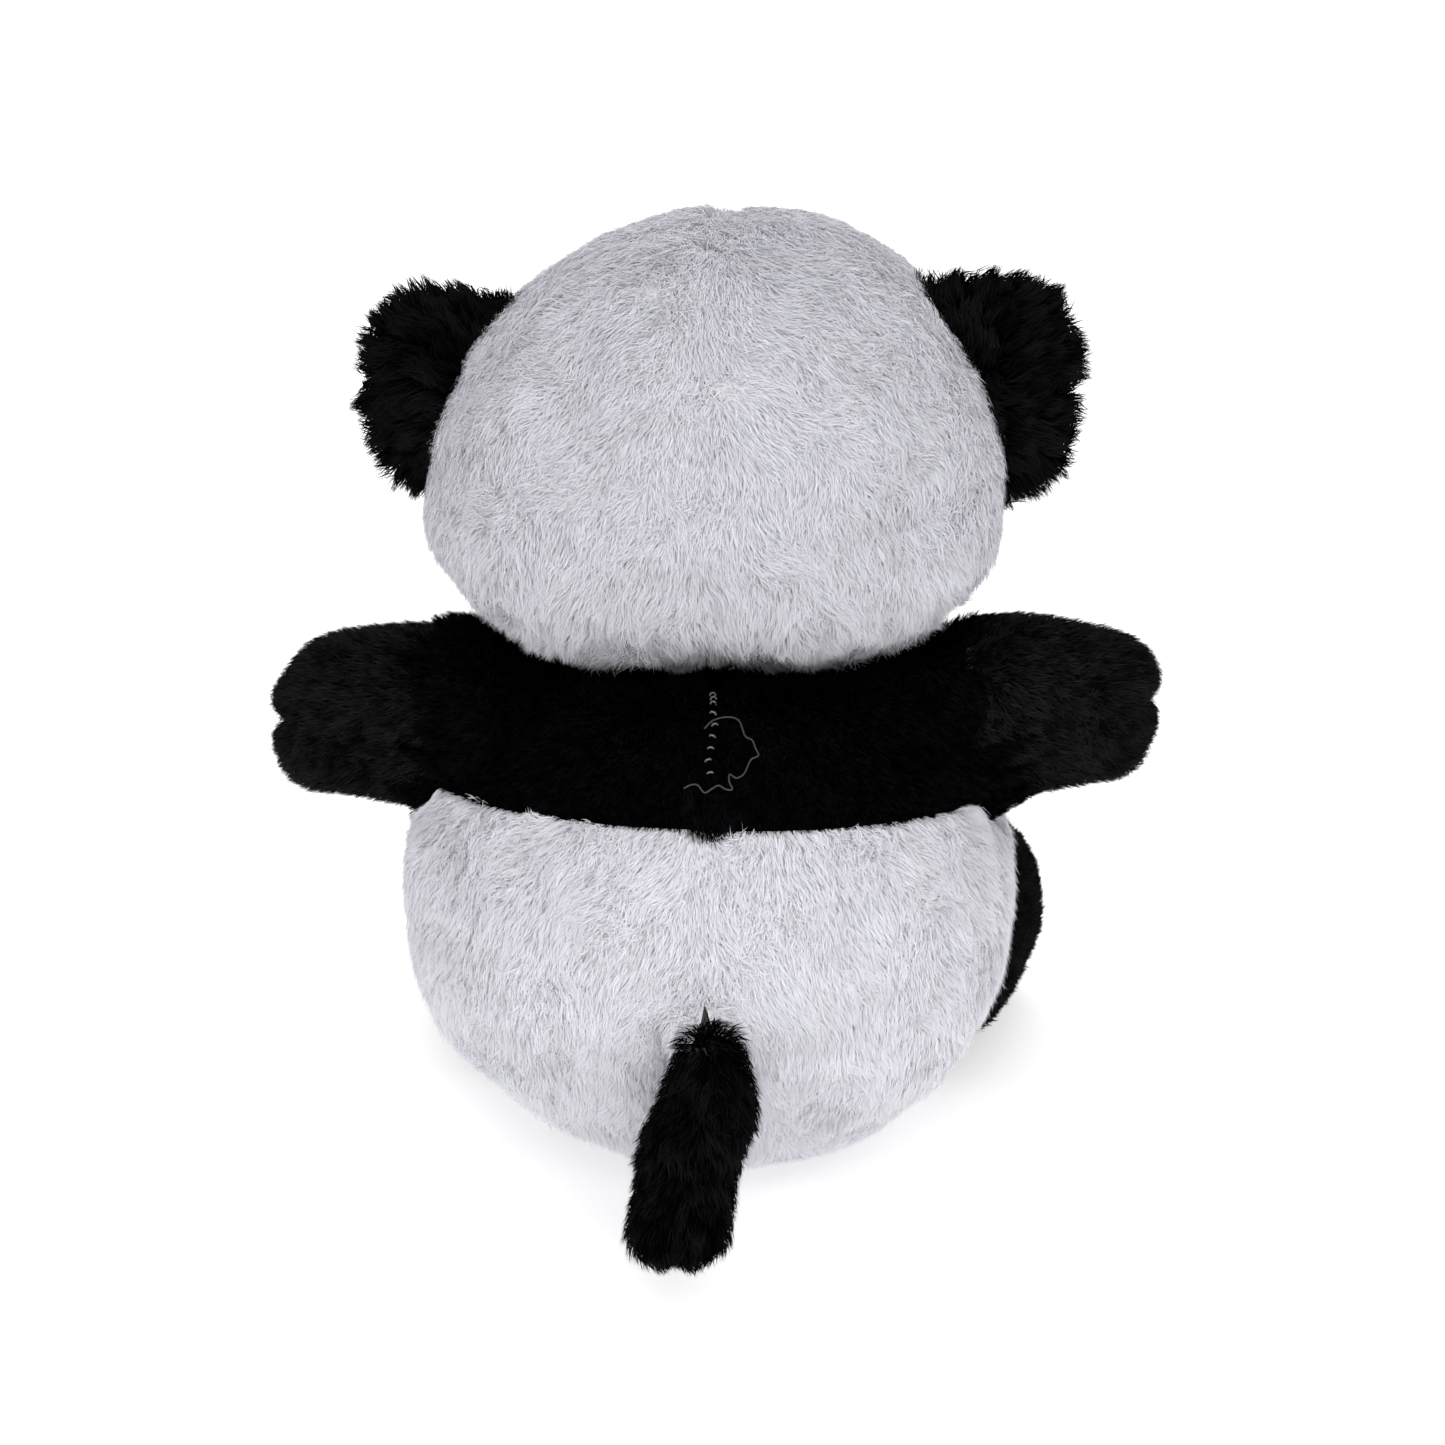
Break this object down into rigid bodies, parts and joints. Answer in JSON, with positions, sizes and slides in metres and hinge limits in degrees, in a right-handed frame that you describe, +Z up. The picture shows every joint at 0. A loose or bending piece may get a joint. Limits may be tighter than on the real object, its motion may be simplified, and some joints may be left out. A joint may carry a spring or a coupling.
{
  "type": "plush panda",
  "caption": "Seated stuffed toy panda with a ball body, wide round head, fold-over ears, short arms and legs that swing, and a hanging tail.",
  "frame": {"origin": "middle of the flat seat, on the surface the panda sits on", "axes": "+Z up, the face looks along -Y, the panda's left is +X"},
  "size_m": [0.276, 0.2692, 0.2951],
  "materials": {
    "white_plush": "long-pile plush, brushed",
    "black_plush": "long-pile plush, brushed",
    "arm_plush": "short-pile plush with a slight sheen",
    "fibre_fill": "loose fluffed fibre",
    "eye_plastic": "polished",
    "nose_plastic": "satin",
    "washer_plastic": "moulded, unpolished",
    "black_thread": "twisted thread",
    "grey_thread": "twisted thread"
  },
  "bodies": {
    "torso": {"rump_left_panel": "white_plush", "rump_right_panel": "white_plush", "belly_panel": "white_plush", "seat_panel": "white_plush", "band_back_left": "black_plush", "band_back_right": "black_plush", "chest_panel": "black_plush", "body_stuffing": "fibre_fill", "closing_stitches": "grey_thread", "loose_thread": "grey_thread", "neck_stitching": "grey_thread"},
    "neck": {"neck_stuffing": "fibre_fill"},
    "head": {"head_back_left": "white_plush", "head_back_right": "white_plush", "face_left": "white_plush", "face_right": "white_plush", "head_stuffing": "fibre_fill", "muzzle": "white_plush", "muzzle_stuffing": "fibre_fill", "mouth_thread": "black_thread", "nose": "nose_plastic", "nose_washer": "washer_plastic", "left_eye_patch": "black_plush", "right_eye_patch": "black_plush", "left_eye": "eye_plastic", "right_eye": "eye_plastic", "left_eye_washer": "washer_plastic", "right_eye_washer": "washer_plastic"},
    "left_ear": {"left_ear_front": "black_plush", "left_ear_back": "black_plush"},
    "right_ear": {"right_ear_front": "black_plush", "right_ear_back": "black_plush"},
    "left_shoulder": {"left_arm_stitching": "black_thread"},
    "left_arm": {"left_arm_top": "arm_plush", "left_arm_under": "arm_plush", "left_arm_stuffing": "fibre_fill"},
    "right_shoulder": {"right_arm_stitching": "black_thread"},
    "right_arm": {"right_arm_top": "arm_plush", "right_arm_under": "arm_plush", "right_arm_stuffing": "fibre_fill"},
    "left_hip": {"left_leg_stitching": "black_thread"},
    "left_leg": {"left_leg_outer": "black_plush", "left_leg_inner": "black_plush", "left_sole": "black_plush", "left_leg_stuffing": "fibre_fill"},
    "right_hip": {"right_leg_stitching": "black_thread"},
    "right_leg": {"right_leg_outer": "black_plush", "right_leg_inner": "black_plush", "right_sole": "black_plush", "right_leg_stuffing": "fibre_fill"},
    "tail_root": {"tail_stitching": "black_thread"},
    "tail": {"tail_left": "black_plush", "tail_right": "black_plush", "tail_stuffing": "fibre_fill"}
  },
  "joints": [
    {"name": "head_turn", "type": "hinge", "parent": "torso", "child": "neck", "pos_m": [0, -0.014, 0.1741], "axis": [0, 0, 1], "range_deg": [-25, 25], "stiffness_Nm_per_rad": 2},
    {"name": "head_nod", "type": "hinge", "parent": "neck", "child": "head", "pos_m": [0, -0.014, 0.1741], "axis": [1, 0, 0], "range_deg": [-12, 12], "stiffness_Nm_per_rad": 2.5},
    {"name": "left_ear_fold", "type": "hinge", "parent": "head", "child": "left_ear", "pos_m": [0.08, -0.018, 0.2417], "axis": [-0.2631, 0, 0.9648], "range_deg": [-25, 25], "stiffness_Nm_per_rad": 0.05},
    {"name": "right_ear_fold", "type": "hinge", "parent": "head", "child": "right_ear", "pos_m": [-0.08, -0.018, 0.2417], "axis": [0.2631, 0, 0.9648], "range_deg": [-25, 25], "stiffness_Nm_per_rad": 0.05},
    {"name": "left_arm_raise", "type": "hinge", "parent": "torso", "child": "left_shoulder", "pos_m": [0.092, -0.008, 0.139], "axis": [0, -1, 0], "range_deg": [-20, 45], "stiffness_Nm_per_rad": 0.25},
    {"name": "left_arm_hug", "type": "hinge", "parent": "left_shoulder", "child": "left_arm", "pos_m": [0.092, -0.008, 0.139], "axis": [0, 0, -1], "range_deg": [-15, 35], "stiffness_Nm_per_rad": 0.25},
    {"name": "right_arm_raise", "type": "hinge", "parent": "torso", "child": "right_shoulder", "pos_m": [-0.092, -0.008, 0.139], "axis": [0, 1, 0], "range_deg": [-20, 45], "stiffness_Nm_per_rad": 0.25},
    {"name": "right_arm_hug", "type": "hinge", "parent": "right_shoulder", "child": "right_arm", "pos_m": [-0.092, -0.008, 0.139], "axis": [0, 0, 1], "range_deg": [-15, 35], "stiffness_Nm_per_rad": 0.25},
    {"name": "left_leg_lift", "type": "hinge", "parent": "torso", "child": "left_hip", "pos_m": [0.066, -0.066, 0.0345], "axis": [-1, 0, 0], "range_deg": [0, 20], "stiffness_Nm_per_rad": 0.6},
    {"name": "left_leg_spread", "type": "hinge", "parent": "left_hip", "child": "left_leg", "pos_m": [0.066, -0.066, 0.0345], "axis": [0, 0, 1], "range_deg": [-8, 15], "stiffness_Nm_per_rad": 0.6},
    {"name": "right_leg_lift", "type": "hinge", "parent": "torso", "child": "right_hip", "pos_m": [-0.066, -0.066, 0.0345], "axis": [-1, 0, 0], "range_deg": [0, 20], "stiffness_Nm_per_rad": 0.6},
    {"name": "right_leg_spread", "type": "hinge", "parent": "right_hip", "child": "right_leg", "pos_m": [-0.066, -0.066, 0.0345], "axis": [0, 0, -1], "range_deg": [-8, 15], "stiffness_Nm_per_rad": 0.6},
    {"name": "tail_lift", "type": "hinge", "parent": "torso", "child": "tail_root", "pos_m": [0, 0.105, 0.074], "axis": [1, 0, 0], "range_deg": [0, 60], "stiffness_Nm_per_rad": 0.04},
    {"name": "tail_sway", "type": "hinge", "parent": "tail_root", "child": "tail", "pos_m": [0, 0.105, 0.074], "axis": [0, 1, 0], "range_deg": [-20, 20], "stiffness_Nm_per_rad": 0.04}
  ]
}
